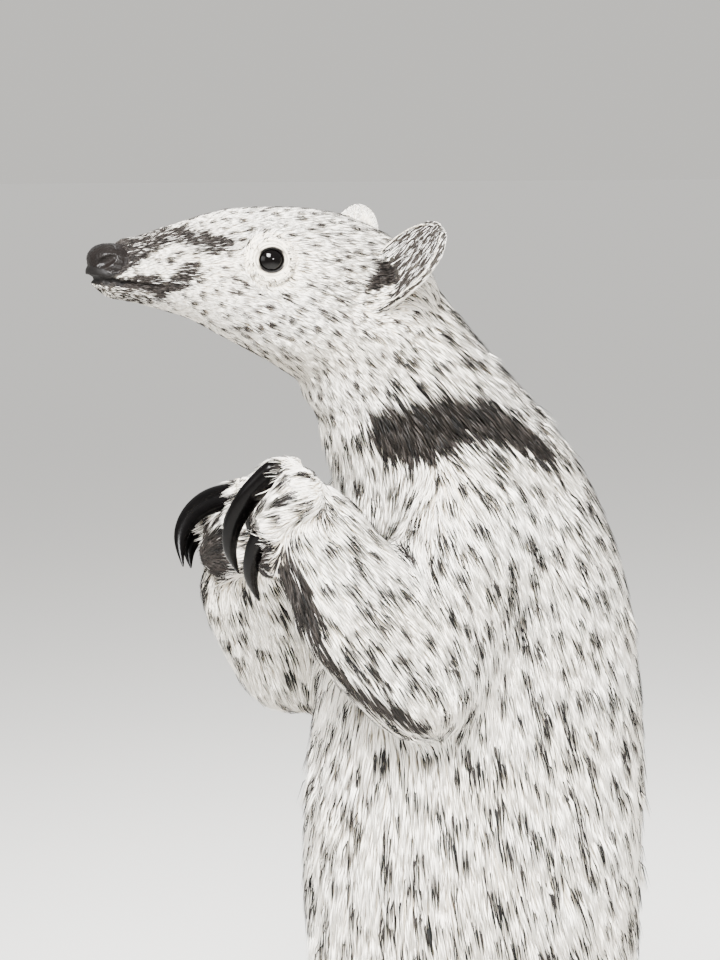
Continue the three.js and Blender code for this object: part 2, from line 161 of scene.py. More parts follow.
# %% Wrap each region in its own net
MOUTH_CORE = [(-149, 459, 3), (-142, 458.5, 5), (-130, 458, 8), (-112, 457, 13)]
NOSE = np.array([0.0, -149.9, 466.6])
NOSE_HALF = np.array([10.8, 9.6, 7.1])
NOSE_CORE_BACK, NOSE_CORE_LESS, EYE_CORE_MORE = (0, 3, 0), (0.9, 2.4, 0.8), 0.8
NETS = {"head": (["head"], 0.85), "body": (TRUNK + sided(LIMBS), 2.4)}
NETS.update({f"hand_{side}": ([f"hand_{side}"], 1.0) for side in SIDES})
NETS.update({f"foot_{side}": ([f"foot_{side}"], 1.3) for side in SIDES})
NETS.update({f"ear_{side}": ([f"ear_{side}"], 0.65) for side in SIDES})


def add_ball(mould, centre, radius, stretch=(1, 1, 1)):
    made = bmesh.ops.create_icosphere(mould, subdivisions=3, radius=radius * MM)
    bmesh.ops.scale(mould, verts=made["verts"], vec=stretch)
    bmesh.ops.translate(mould, verts=made["verts"], vec=Vector((centre + HIPS) * MM))


nets = {}
for region, (nodes, voxel) in NETS.items():
    mould = grown_copy(nodes)
    if region == "head":
        for y, z, radius in MOUTH_CORE:
            add_ball(mould, np.array([0, y, z]), radius)
        add_ball(mould, NOSE + NOSE_CORE_BACK, 1, NOSE_HALF - NOSE_CORE_LESS)
        for side in (1, -1):
            add_ball(mould, EYE * (side, 1, 1), EYE_RADIUS + EYE_CORE_MORE)
    nets[region] = voxelled(f"net_{region}", mould, voxel)
    print(region, len(nets[region].data.polygons), "faces")

# %% [markdown]
# The nets cross each other, and a boolean union keeps only their common outside. Blender's manifold
# solver is the quick one, and it suits nets that are closed, as a voxel remesh leaves them.

# %% Join the nets into one skin
skin = nets.pop("body")
skin.name = "skin"
for region, net in nets.items():
    join = skin.modifiers.new(region, "BOOLEAN")
    join.operation, join.solver, join.object = "UNION", "MANIFOLD", net
apply_modifiers(skin)
for net in nets.values():
    bpy.data.objects.remove(net)
print("skin", len(skin.data.vertices), "points")

# %% [markdown]
# The net still shows the flat faces of the solids and a ridge wherever two of them meet. Each point is
# moved towards the middle of its neighbours, many times over. Any other value that is kept at the points
# can be spread over the skin in the same way.

# %% Spread values over a net
def edge_pairs(mesh):
    return read(mesh.edges, "vertices", 2, np.int64)


def neighbour_mean(values, pairs):
    total = np.zeros_like(values)
    for column in range(values.shape[1]):
        for a, b in ((0, 1), (1, 0)):
            total[:, column] += np.bincount(pairs[:, a], values[pairs[:, b], column], len(values))
    degree = np.bincount(pairs.ravel(), minlength=len(values))
    return total / degree[:, None]


def spread(values, pairs, rounds, pull=0.5, share=1.0):
    share = np.broadcast_to(np.asarray(share, dtype=float), len(values))[:, None]
    for _ in range(rounds):
        values = values + (neighbour_mean(values, pairs) - values) * pull * share
    return values


print("each point meets", round(2 * len(skin.data.edges) / len(skin.data.vertices), 1), "edges")

# %% [markdown]
# Much depends on which part of the body a point is on. A search tree over all the solids of flesh finds
# the nearest one. The eyes are mirror images, so a point on the right is measured as if on the left.

# %% Find the part of the body
FLESH = ["head", *sided(["ear", "hand", "foot"]), *sided(LIMBS), *TRUNK]


def solid_search(nodes):
    corners, faces = [], []
    for k, node in enumerate(nodes):
        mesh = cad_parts[node].data
        first = len(corners)
        corners += [tuple(spot) for spot in places(mesh)]
        faces += [([first + v for v in face.vertices], k) for face in mesh.polygons]
    owner = np.array([k for _, k in faces])
    return BVHTree.FromPolygons(corners, [face for face, _ in faces]), owner


FLESH_TREE, FLESH_OWNER = solid_search(FLESH)


def nearest_node(spots):
    return FLESH_OWNER[[FLESH_TREE.find_nearest(spot)[2] for spot in spots.tolist()]]


def belongs(owner, *names):
    wanted = [k for k, node in enumerate(FLESH) if node.startswith(names)]
    return np.isin(owner, wanted)


def mirrored(spots):
    return np.abs(spots * (1, 0, 0)) + spots * (0, 1, 1)


def side_signs(spots):
    """What turns a vector on the left into its mirror image, where a point is on the right."""
    return np.where(spots[:, :1] < 0, -1, 1) * (1, 0, 0) + (0, 1, 1)


print(len(FLESH), "solids of flesh")

# %% [markdown]
# A union can leave crumbs of a few points beside the skin. Points that hang together take on the lowest
# number among them, step by step, and everything but the largest group is deleted.

# %% Drop the crumbs
def keep_largest(made):
    """Delete all but the largest connected part of a mesh, and return the number of points deleted."""
    mesh = made.data
    pairs, part = edge_pairs(mesh), np.arange(len(mesh.vertices))
    settled = False
    while not settled:
        least = part.copy()
        np.minimum.at(least, pairs[:, 0], part[pairs[:, 1]])
        np.minimum.at(least, pairs[:, 1], part[pairs[:, 0]])
        least = least[least]
        settled = bool((least == part).all())
        part = least
    scrap = part != np.bincount(part).argmax()
    mould = bmesh.new()
    mould.from_mesh(mesh)
    mould.verts.ensure_lookup_table()
    bmesh.ops.delete(mould, geom=[mould.verts[k] for k in np.flatnonzero(scrap)], context="VERTS")
    mould.to_mesh(mesh)
    mould.free()
    return int(scrap.sum())


print("crumbs removed:", keep_largest(skin), "points")

# %% [markdown]
# The trunk is smoothed most, and the joints flow into one another as muscle does. The lips, the rim of
# the nose pad and the ears are fine, and the fingers fairly so, and they are smoothed only a few times.

# %% Smooth the skin
LIP, LIP_DROP, LIP_FRONT, LIP_LENGTH = 459.5, 4.2, -160, 32
FINE_END, FINE_REACH = -126, 3


def lip_height(y):
    return LIP - LIP_DROP * np.clip((y - LIP_FRONT) / LIP_LENGTH, 0, 1)


spots = places(skin.data)
pairs = edge_pairs(skin.data)
owner = nearest_node(spots)
from_lips = np.hypot(spots[:, 2] - lip_height(spots[:, 1]), np.maximum(spots[:, 1] - FINE_END, 0))
from_pad = np.linalg.norm((spots - NOSE) / (NOSE_HALF + FINE_REACH), axis=1)
on_ear = belongs(owner, "ear")
fine = on_ear | (belongs(owner, "head") & ((from_lips < FINE_REACH) | (from_pad < 1)))
some = belongs(owner, "hand", "foot")
spots = spread(spots, pairs, 2)
spots = spread(spots, pairs, 4, share=~on_ear)
spots = spread(spots, pairs, 14, share=~fine)
spots = spread(spots, pairs, 30, share=~(fine | some))
put(skin.data, spots)
print("smoothed", len(spots), "points")

# %% [markdown]
# The skin is now smooth, and most of its small faces say nothing that larger ones can't. Decimate merges
# them where they are flattest, until a number is left that any viewer can show.

# %% Thin the net where it is nearly flat
SKIN_TRIANGLES = 150_000
triangles = sum(len(face.vertices) - 2 for face in skin.data.polygons)
thin = skin.modifiers.new("thin", "DECIMATE")
thin.ratio, thin.use_collapse_triangulate = SKIN_TRIANGLES / triangles, True
apply_modifiers(skin)
keep_largest(skin)
print("skin", len(skin.data.polygons), "triangles")

# %% [markdown]
# A coat is described by a few facts at each point of the skin: how deep the hair lies over it, how long
# and wide a tuft is, how many grow on a square millimetre, and which way they lie. Each solid gives its
# own values, and the same smoothing as before lets them pass into one another.

# %% Describe the coat of each region
DEPTH, LENGTH, WIDTH, CROWD = range(4)
COATS = {
    "head": (2.0, 9.5, 0.55, 1.3),
    "ear": (0.3, 5, 0.32, 2.6),
    "neck": (3.6, 14, 0.75, 0.72),
    "chest": (4.2, 16, 0.85, 0.58),
    "belly": (4.6, 17, 0.95, 0.4),
    "rump": (4.6, 17, 1.0, 0.34),
    "upper_arm": (3.8, 15, 0.8, 0.62),
    "forearm": (3.2, 13, 0.72, 0.72),
    "hand": (1.2, 8.5, 0.5, 1.5),
    "thigh": (4.2, 16, 1.0, 0.36),
    "shin": (3.2, 13, 0.9, 0.42),
    "foot": (1.2, 6, 0.6, 0.85),
    "tail_1": (4.0, 14, 0.95, 0.4),
    "tail_2": (2.5, 10, 0.8, 0.5),
    "tail_3": (0.8, 6, 0.5, 0.36),
    "tail_4": (0.3, 4, 0.4, 0.14),
}
print("longest hair", max(values[LENGTH] for values in COATS.values()), "mm")

# %% [markdown]
# Places on the face are found by measuring: from the eye's line of sight, from the line of the lips, and
# from the nose pad. `ease` turns such a distance into a share that rises smoothly from 0 to 1.

# %% Measure from the eyes, the lips and the palms
GAZE = np.array([0.985, -0.174, 0.0])
OPENING, LID_REACH = 5.4, 10.5
SLIT_HALF, UPPER_LIP_FRONT = [1.3, 1.0, 0.3], -150


def unit(vectors):
    return vectors / np.maximum(np.linalg.norm(vectors, axis=-1, keepdims=True), 1e-9)


def ease(value, low, high):
    share = np.clip((value - low) / (high - low), 0, 1)
    return share * share * (3 - 2 * share)


def point_normals(mesh):
    return read(mesh.vertices, "normal")


def eye_distance(spots):
    """How far each point is from the line of sight of the nearer eye, and how far along it."""
    away = mirrored(spots) - EYE
    ahead = away @ GAZE
    return np.linalg.norm(away - ahead[:, None] * GAZE, axis=1), ahead


PALMS = {1: (unit(np.array([-0.5, -0.8, -0.4])), 0.5, 372), -1: (unit(np.array([0.1, -0.9, -0.4])), 0.6, 356)}


def in_palm(spots, normals, owner):
    """Whether each point is on the inside of a hand. Each palm has its own facing and its own top."""
    inside = np.zeros(len(spots), dtype=bool)
    for side, (facing, least, top) in PALMS.items():
        inside |= (normals @ facing > least) & (spots[:, 0] * side > 0) & (spots[:, 2] < top)
    return belongs(owner, "hand") & inside


def lip_gap(spots):
    """How far above or below the line of the lips each point is, and how far back along the mouth."""
    return np.abs(spots[:, 2] - lip_height(spots[:, 1])), spots[:, 1] - LIP_FRONT


def in_slit(spots, more=0):
    """From 0 on the lips to 1 in the slit between them, which narrows towards the cheek and is painted dark
    as shade.
    """
    gap, along = lip_gap(spots)
    half = np.interp(along, [6, 14, LIP_LENGTH], SLIT_HALF) + more
    return ease(half - gap, -0.4, 0.3) * (along < LIP_LENGTH)


def under_pad(spots):
    """The bare front of the upper lip, between the nose pad and the slit."""
    below = NOSE[2] - spots[:, 2]
    return (spots[:, 1] < UPPER_LIP_FRONT - 0.5 * below) & (spots[:, 2] > LIP + 0.5) & (below > 0)


print("eye opening", 2 * OPENING, "mm wide")

# %% [markdown]
# On the head the hair is shortest at the nose and grows longer towards the neck. It is short round the
# eyes, before the ears and in the palms too, and some places have none. The facts are then spread.

# %% Work out the coat at each point
EAR_ROOT, EAR_FRONT = np.array([28.5, -47, 453]), np.array([33.5, -47, 452])
MUZZLE_TIP, MUZZLE_LENGTH, PALM_SHARE = -158, 118, 0.45


def coat_facts(spots, normals, owner):
    facts = np.empty((len(spots), 4))
    for name, values in COATS.items():
        facts[belongs(owner, name)] = values
    muzzle = np.where(belongs(owner, "head"), np.clip((spots[:, 1] - MUZZLE_TIP) / MUZZLE_LENGTH, 0, 1), 1)
    facts[:, DEPTH] *= 0.12 + 0.88 * muzzle
    facts[:, LENGTH] *= 0.3 + 0.7 * muzzle
    facts[:, WIDTH] *= 0.5 + 0.5 * muzzle
    facts[:, CROWD] *= 3 - 2 * muzzle
    from_ear = np.linalg.norm(mirrored(spots) - EAR_FRONT, axis=1)
    by_ear = np.where(belongs(owner, "head"), ease(from_ear, 5, 20), 1)
    facts[:, DEPTH] *= 0.3 + 0.7 * by_ear
    facts[:, LENGTH] *= 0.3 + 0.7 * by_ear
    facts[:, LENGTH] *= np.where(in_palm(spots, normals, owner), PALM_SHARE, 1)
    aside, ahead = eye_distance(spots)
    by_eye = ease(aside, 6, 15) + (ahead < -6)
    facts[:, DEPTH] *= 0.15 + 0.85 * np.clip(by_eye, 0, 1)
    facts[:, LENGTH] *= 0.35 + 0.65 * np.clip(by_eye, 0, 1)
    return facts


def bare_places(spots, normals, owner):
    """Under the nose pad, along the lips, on the soles and round the eyes."""
    aside, ahead = eye_distance(spots)
    on_pad = np.linalg.norm((spots - NOSE) / (NOSE_HALF - 0.7), axis=1) < 1
    gap, along = lip_gap(spots)
    on_lips = (gap < np.interp(along, [0, 12, 20], [0.9, 0.6, 0])) | under_pad(spots)
    on_lips &= belongs(owner, "head")
    on_sole = (normals[:, 2] < -0.5) & (spots[:, 2] < 7)
    return on_pad | on_lips | on_sole | ((aside < LID_REACH - 1.4) & (ahead > 0))


spots, normals, pairs = places(skin.data), point_normals(skin.data), edge_pairs(skin.data)
owner = nearest_node(spots)
facts = spread(coat_facts(spots, normals, owner), pairs, 12)
bare = bare_places(spots, normals, owner)
print("bare", round(100 * bare.mean()), "% of the skin's points")

# %% [markdown]
# The solids end at the surface of the coat, so the skin sinks below it by the coat's depth. Where the
# animal rests, on its soles and the underside of its tail, the skin itself touches the floor. Round the
# eyes it swells a little, as the rim of the socket does, behind each eyeball it falls back, and between
# the lips it sinks deeper, so that the mouth is a real slit.

# %% Sink the skin under the coat
SOCKET_SWELL, SOCKET_WIDTH, EYE_HOLLOW = 1.6, 11, 1.4
SLIT_DEPTH, BARE_DEPTH = 1.8, 0.15


def sunk(spots, normals, facts, bare):
    on_floor = ease(-normals[:, 2], 0.3, 0.8) * ease(-spots[:, 2], -8, -3)
    from_pad = np.linalg.norm((spots - NOSE) / (NOSE_HALF + 2.5), axis=1)
    depth = facts[:, DEPTH] * np.where(bare, BARE_DEPTH, 1) * (1 - on_floor) + GROW
    depth = depth * (0.1 + 0.9 * ease(from_pad, 1, 1.5))
    placed = spots - normals * (depth + SLIT_DEPTH * in_slit(spots))[:, None]
    side = side_signs(spots)
    aside, ahead = eye_distance(placed)
    swell = SOCKET_SWELL * np.exp(-((aside / SOCKET_WIDTH) ** 2)) * (ahead > -8)
    placed = placed + GAZE * side * swell[:, None]
    away = mirrored(placed) - EYE
    behind = EYE + unit(away) * (EYE_RADIUS - EYE_HOLLOW)
    hollow = (ease(-aside, -7.8, -6.9) * (ahead > 0))[:, None]
    placed = placed + (behind * side - placed) * hollow
    placed[:, 2] = np.maximum(placed[:, 2], 0)
    return placed


spots = sunk(spots, normals, facts, bare)
put(skin.data, spots)
normals = point_normals(skin.data)
print("skin reaches", spots.min(axis=0).round(1), "to", spots.max(axis=0).round(1))

# %% [markdown]
# Hair on the body grows away from the nose, over the back and along the tail. The drawing shows it lying
# down the arms, also from the wrist to the elbow, and on towards the claws on the hand. Each region gets
# its direction, neighbours share theirs, and what points into the skin is laid flat on it.

# %% Lay the hair
SPINE = np.array(
    [(0, -160, 460), (0, -130, 461), (0, -100, 460), (0, -60, 452), (0, -33, 432), (0, -12, 398)]
    + [(0, 5, 360), (0, 12, 300), (0, 14, 220), (0, 20, 130), (0, 40, 95), (0, 80, 66), (1, 112, 36)]
    + [(4, 150, 28), (11, 200, 24), (20, 260, 20), (26, 325, 15)]
    + [(24, 390, 12), (12, 440, 8), (-6, 478, 6)],
    dtype=float,
)
LIMB_LIE = {
    "upper_arm": (0.1, 0.25, -1),
    "forearm": (0.26, 0.5, -0.82),
    "hand": (0.1, -0.95, -0.15),
    "thigh": (0.45, -0.5, -0.75),
    "shin": (-0.13, 0.6, -0.75),
    "foot": (0.13, -1, -0.05),
    "ear": (0.4, 0.6, 0.69),
}


def lie_along(spots, line):
    starts, steps = line[:-1], np.diff(line, axis=0)
    share = ((spots[:, None] - starts) * steps).sum(axis=2) / (steps**2).sum(axis=1)
    near = starts + np.clip(share, 0, 1)[..., None] * steps
    weight = np.maximum(np.linalg.norm(spots[:, None] - near, axis=2), 1) ** -4
    return unit((weight[..., None] * unit(steps)).sum(axis=1))


def laid_flat(lie, normals):
    return unit(lie - (lie * normals).sum(axis=1, keepdims=True) * normals)


def hair_lie(spots, normals, owner, pairs):
    side = side_signs(spots)
    lie = lie_along(spots, SPINE)
    for name, way in LIMB_LIE.items():
        here = belongs(owner, name)
        lie[here] = unit(np.array(way)) * side[here]
    lie = laid_flat(spread(laid_flat(lie, normals), pairs, 30), normals)
    aside, ahead = eye_distance(spots)
    outward = unit((mirrored(spots) - EYE - ahead[:, None] * GAZE) * side)
    round_eye = (ease(-aside, -16, -7) * (ahead > -6))[:, None]
    return laid_flat(lie * (1 - 0.75 * round_eye) + outward * 0.9 * round_eye, normals)


lie = hair_lie(spots, normals, owner, pairs)
print("hair laid at", len(lie), "points")

# %% [markdown]
# Skin and coat share one set of markings and painted shade, worked out from where a point is: a black band
# over each shoulder, a black line under each forearm that is partly a marking and partly painted shade
# between the arm and the body, grey and brown on the snout, dark ears inside and a mottled tail. Painted
# shade also darkens the slit between the lips and the wrinkles round the eyes. Each marking is a line of
# points, and the last number of a point is half the width there.

# %% Describe the markings and the painted shade
BAND = np.array([(-34, 392, 12.5), (-26, 394, 12.5), (-18, 397.5, 10.5), (-4, 398, 8.8), (14, 392.3, 7.2)]
                + [(26, 384.5, 5), (36, 378, 2)])
# The line under each forearm is partly a black marking and partly painted shade where the arm meets the body.
ARM_MARK_AND_SHADE = {
    1: np.array([(57, -97.5, 339, 9.5), (59, -95.5, 332, 11.5), (60.5, -93, 323.5, 11)]
                + [(62, -90, 317.5, 8.8), (62.5, -85, 307.5, 6.4), (67.2, -78.5, 299.5, 4.6)]
                + [(71, -64, 288.5, 4.4), (78, -51.6, 281.6, 3.8)]
                + [(74.5, -39, 274.5, 3.6), (64, -25, 267, 2.8)]),
}
ARM_MARK_AND_SHADE[-1] = ARM_MARK_AND_SHADE[1] * (-1, 1, 1, 1) + (-7, 4, -9, 0)
EAR_SHADE = np.array([(-48.5, 455, 1.4), (-45, 457, 3.2), (-39.5, 461.5, 4.6)])
SNOUT_PATCHES = [
    (0.9, np.array([(-156, 473, 5), (-145, 471, 6.5), (-139, 472.5, 4.5), (-130, 475.5, 3)])),
    (0.8, np.array([(-131, 478, 2.5), (-120, 477, 4), (-112, 474, 5), (-104, 474.5, 2.5)])),
    (0.6, np.array([(-154, 455, 4), (-145, 452, 4.5), (-135, 450.5, 2.5)])),
    (0.85, np.array([(-146, 458, 2), (-140, 459, 3), (-134, 457, 4)])),
    (0.9, np.array([(-132, 452, 2.5), (-129, 455, 3), (-124, 459, 4.5), (-120, 463, 3)])),
]
print(len(SNOUT_PATCHES), "patches on the snout")

# %% [markdown]
# Markings on an animal have soft, ragged edges. `drift` gives a smooth random value that shifts an edge
# to and fro, and `inside_line` says how far a point lies inside a line whose width changes on its way.

# %% Turn lines into markings and painted shade
def drift(spots, size, seed):
    """A smooth random value from -1 to 1 that changes over about `size` millimetres."""
    random = np.random.default_rng(seed)
    waves = unit(random.normal(size=(6, 3))) * 2 * np.pi / size * random.uniform(0.6, 1.5, (6, 1))
    return np.sin(spots @ waves.T + random.uniform(0, 6.28, 6)).sum(axis=1) / 3


def inside_line(spots, line):
    """How far inside a line of varying half width each point is, in millimetres."""
    ends, half = line[:, :-1], line[:, -1]
    steps = np.diff(ends, axis=0)
    share = np.clip(((spots[:, None] - ends[:-1]) * steps).sum(axis=2) / (steps**2).sum(axis=1), 0, 1)
    gap = np.linalg.norm(spots[:, None] - ends[:-1] - share[..., None] * steps, axis=2)
    return (half[:-1] + share * np.diff(half) - gap).max(axis=1)


def darkness(spots, normals, owner):
    """The share of dark hair at each point, from 0 for none to 1 for all: markings, and painted shade in the
    lips' slit, in the wrinkles round the eyes and along part of the line under each forearm.
    """
    dark = np.full(len(spots), 0.005)
    ragged = drift(spots, 7, 1)
    head, ear = belongs(owner, "head"), belongs(owner, "ear")
    for share, line in SNOUT_PATCHES:
        patch = inside_line(spots[:, 1:], line) + 0.8 * ragged
        dark = np.maximum(dark, share * ease(patch, -1.2, 1.2) * head)
    # The slit between the lips, reaching a little onto them, is painted black as shade; the bare lip under
    # the nose pad is dark leather like the pad.
    dark = np.maximum(dark, np.maximum(in_slit(spots, 0.8), under_pad(spots)) * head)
    before_ear = inside_line(spots[:, 1:], EAR_SHADE) + 0.5 * ragged
    dark = np.maximum(dark, ease(before_ear, -0.8, 0.8) * (np.abs(spots[:, 0]) > 24) * head)
    under_nose = ease(-np.linalg.norm((spots - NOSE) / (NOSE_HALF + 2.2), axis=1), -1.1, -1)
    dark = np.maximum(dark, under_nose * head)
    aside, ahead = eye_distance(spots)
    # Dark rings in the wrinkle grooves round each eye are painted shade; the thin dark rim at the opening is
    # the lids' own colour.
    rings = np.sin(2 * np.pi * (aside - OPENING + 0.4 * ragged) / 2.3)
    margin = ease(-aside, -OPENING - 0.8, -OPENING - 0.3)
    rim_and_groove_shade = np.maximum(ease(rings, 0.4, 0.9) * ease(-aside, -13, -11), margin)
    dark = np.maximum(dark, 0.45 * rim_and_groove_shade * (ahead > -4) * head)
    opening = np.where(spots[:, :1] < 0, unit(np.array([-1, 0, 0.2])), unit(np.array([0.45, -0.82, 0.35])))
    in_ear = ease((normals * opening).sum(axis=1), 0, 0.3)
    up_ear = (mirrored(spots) - EAR_ROOT) @ unit(np.array([0.42, 0.64, 0.64]))
    dark[ear] = (in_ear * np.interp(up_ear, [6, 20, 34], [1, 0.72, 0.8]))[ear]
    banded = ease(inside_line(spots[:, 1:], BAND) + 1.2 * ragged, -0.6, 0.8)
    dark = np.maximum(dark, banded * (np.abs(spots[:, 0]) > 12) * belongs(owner, "neck", "chest", "upper"))
    # Painted shade along the underside of each forearm, together with its dark marking.
    for side, line in ARM_MARK_AND_SHADE.items():
        lined = inside_line(spots, line) + 1.5 * ragged
        dark = np.maximum(dark, 0.95 * ease(lined, -1, 1) * (spots[:, 0] * side > 0))
    dark[in_palm(spots, normals, owner)] = 0.98
    tail = belongs(owner, "tail_3", "tail_4")
    dark[tail] = (0.35 + 0.5 * drift(spots, 16, 2) + 0.25 * drift(spots, 5, 3))[tail]
    return np.clip(dark, 0, 1)


SOLE_SHARE = 0.8
sole = (normals[:, 2] < -0.5) & (spots[:, 2] < 2) & belongs(owner, "foot")
# Skin within a few millimetres of the floor is darker, by a share that varies from place to place.
edge = ease(-spots[:, 2], -6, -2) * (0.45 + 0.2 * drift(spots, 6, 6))
dark_skin = np.maximum(darkness(spots, normals, owner), np.maximum(SOLE_SHARE * sole, edge))
print("dark on", round(100 * (dark_skin > 0.5).mean(), 1), "% of the skin's points")

# %% [markdown]
# Each eye is a ball that bulges a little more at the front, where the clear cornea sits. It is made of
# rings of points, closer together at the front, where a highlight would show every corner.

# %% Shape the eyes
AROUND, CORNEA_RISE, CORNEA_SPREAD = 96, 0.35, 0.5
TILTS = [1.5, *range(5, 38, 4), 42, 48, 56, 66, 78, 92, *range(108, 157, 16), 170]


def grid_mesh(name, rows, close_ends=False):
    """A surface from rings of points, each closed on itself."""
    count, around = rows.shape[:2]
    mesh = bpy.data.meshes.new(name)
    faces = []
    for k in range(count - 1):
        for j in range(around):
            n = (j + 1) % around
            faces.append((k * around + j, k * around + n, (k + 1) * around + n, (k + 1) * around + j))
    if close_ends:
        faces += [tuple(range(around))[::-1], tuple((count - 1) * around + j for j in range(around))]
    mesh.from_pydata(((rows.reshape(-1, 3) + HIPS) * MM).tolist(), [], faces)
    return new_object(name, mesh)


def gaze_frame(side):
    """An eye's centre, the way it looks, and the two directions across that."""
    gaze = GAZE * (side, 1, 1)
    across = unit(np.cross((0, 0, 1), gaze))
    return EYE * (side, 1, 1), gaze, across, np.array([0.0, 0.0, 1.0])


def shape_eye(name, side):
    centre, gaze, across, up = gaze_frame(side)
    turn = np.linspace(0, 2 * np.pi, AROUND, endpoint=False)
    rows = []
    for tilt in np.radians(TILTS):
        radius = EYE_RADIUS - 0.05 + CORNEA_RISE * np.exp(-((tilt / CORNEA_SPREAD) ** 2))
        ring = np.cos(turn)[:, None] * across + np.sin(turn)[:, None] * up
        rows.append(centre + radius * (np.cos(tilt) * gaze + np.sin(tilt) * ring))
    return grid_mesh(name, np.array(rows[::-1]), close_ends=True)


def turned_out(made):
    mould = bmesh.new()
    mould.from_mesh(made.data)
    bmesh.ops.triangulate(mould, faces=mould.faces)
    bmesh.ops.recalc_face_normals(mould, faces=mould.faces)
    mould.to_mesh(made.data)
    mould.free()
    return made


eyes = [turned_out(shape_eye(f"eyeball_{side}", sign)) for side, sign in zip(SIDES, (1, -1))]
print([len(made.data.polygons) for made in eyes], "faces")


# %% [markdown]
# The lids are a ring that starts just inside the opening, turns over a rounded edge and runs out over the
# ball until it meets the face. Rays shot back at the skin tell it where the face is. Wrinkles circle the
# eye, as they do in the drawing.

# %% Shape the lids
def tree_of(*surfaces):
    corners, faces, first = [], [], 0
    for spots, triangles in surfaces:
        corners.append(spots)
        faces.append(triangles + first)
        first += len(spots)
    return BVHTree.FromPolygons(np.concatenate(corners).tolist(), np.concatenate(faces).tolist())


def face_corners(mesh):
    return read(mesh.polygons, "vertices", 3, np.int64)


SKIN_TREE = tree_of((spots, face_corners(skin.data)))
LID_BALL, LID_LIFT, LID_THICKNESS, FLATNESS = 7.75, 0.3, 0.6, 0.9
WRINKLE_GAP, WRINKLE_HEIGHT = 1.3, 0.26
MARGIN = [(0.75, 6.7), (0.3, 6.95), (0.05, 7.15), (0, 7.35), (0.1, 7.55), (0.3, 7.7)]


def shape_lids(name, side):
    centre, gaze, across, up = gaze_frame(side)
    turn = np.linspace(0, 2 * np.pi, AROUND, endpoint=False)

    def ring(out, flat):
        aside = (np.cos(turn) * out)[:, None] * across + (np.sin(turn) * out * flat)[:, None] * up
        return aside, np.linalg.norm(aside, axis=1)

    rows = []
    for more, ball in MARGIN:
        aside, apart = ring(OPENING + more, FLATNESS)
        rows.append(centre + aside + gaze * np.sqrt(ball**2 - apart**2)[:, None])
    for out in np.linspace(OPENING + 0.6, LID_REACH, 22):
        aside, apart = ring(out, FLATNESS + (1 - FLATNESS) * ease(out, OPENING, LID_REACH))
        hits = [SKIN_TREE.ray_cast(Vector(start), Vector(-gaze))[0] for start in centre + aside + gaze * 25]
        face = np.array([(np.array(hit) - centre) @ gaze if hit else 0 for hit in hits])
        over_ball = np.maximum(np.sqrt(np.maximum(LID_BALL**2 - apart**2, 0)), face + LID_LIFT)
        share = ease(out, OPENING + 1, LID_REACH - 1)
        rise = over_ball * (1 - share) + (face + LID_LIFT) * share
        rise = rise - 0.9 * ease(out, LID_REACH - 0.9, LID_REACH)
        wrinkle = WRINKLE_HEIGHT * np.sin(2 * np.pi * (out - OPENING) / WRINKLE_GAP) * (out < LID_REACH - 1)
        rows.append(centre + aside + gaze * (rise + wrinkle)[:, None])
    made = grid_mesh(name, np.array(rows))
    thick = made.modifiers.new("thickness", "SOLIDIFY")
    thick.thickness, thick.offset = LID_THICKNESS * MM, -1
    return apply_modifiers(made)


lids = [turned_out(shape_lids(f"eyelids_{side}", sign)) for side, sign in zip(SIDES, (1, -1))]
print([len(made.data.polygons) for made in lids], "faces")

# %% [markdown]
# The lids carry hair too, so their points join the skin's for everything that the coat needs. Their hair
# is the shortest of all and points away from the eye.

# %% Let the lids carry hair
LID_COAT, BACKWARD = (0.35, 2.6, 0.3, 3.2), np.array([0, 0.8, -0.1])
names = ["spots", "normals", "lie", "facts", "bare", "owner"]
surface = {name: [values] for name, values in zip(names, [spots, normals, lie, facts, bare, owner])}
sheets, first = [face_corners(skin.data)], len(spots)
for made, sign in zip(lids, (1, -1)):
    lid_spots, lid_normals = places(made.data), point_normals(made.data)
    aside, ahead = eye_distance(lid_spots)
    side = np.array([sign, 1, 1])
    outward = unit((mirrored(lid_spots) - EYE - ahead[:, None] * GAZE) * side)
    faces_out = lid_normals @ (GAZE * side) > 0
    surface["spots"].append(lid_spots)
    surface["normals"].append(lid_normals)
    surface["lie"].append(laid_flat(outward + BACKWARD, lid_normals))
    surface["facts"].append(np.tile(LID_COAT, (len(lid_spots), 1)))
    surface["bare"].append((aside < OPENING + 0.9) | (aside > LID_REACH - 0.4) | ~faces_out)
    surface["owner"].append(np.full(len(lid_spots), FLESH.index("head")))
    sheets.append(face_corners(made.data) + first)
    first += len(lid_spots)
spots, normals, lie, facts, bare, owner = (np.concatenate(values) for values in surface.values())
triangles = np.concatenate(sheets)
SURFACE_TREE = tree_of((spots, triangles))
print("coat grows over", len(spots), "points")

# %% [markdown]
# The nose pad is bare, moist skin with a pebbled grain. The solid already has its nostrils, so a fine net
# is wrapped round it, the nostrils are pressed deeper, and each pebble is raised a little. Behind and
# below its widest part the pad keeps its width, so that it runs flush into the muzzle and the lip.

# %% Shape the nose
PEBBLE, PEBBLE_EDGE, PEBBLE_HEIGHT, NOSTRIL_DEPTH = 0.95, 0.5, 0.17, 0.9
NOSTRIL = np.array([(7, -7.8, -1.3, 0.8), (8.6, -5.8, -0.5, 1.7)]
                   + [(10.1, -3.5, 1, 1.4), (10.8, -1.2, 2.4, 0.5)])


def point_tree(spots):
    tree = KDTree(len(spots))
    for k, spot in enumerate(spots.tolist()):
        tree.insert(spot, k)
    tree.balance()
    return tree


def cell_centres(spots, size, seed):
    """Random points about `size` apart in the box round `spots`."""
    low, high = spots.min(axis=0) - size, spots.max(axis=0) + size
    count = int(np.prod((high - low) / size) * 1.4)
    return np.random.default_rng(seed).uniform(low, high, (count, 3))


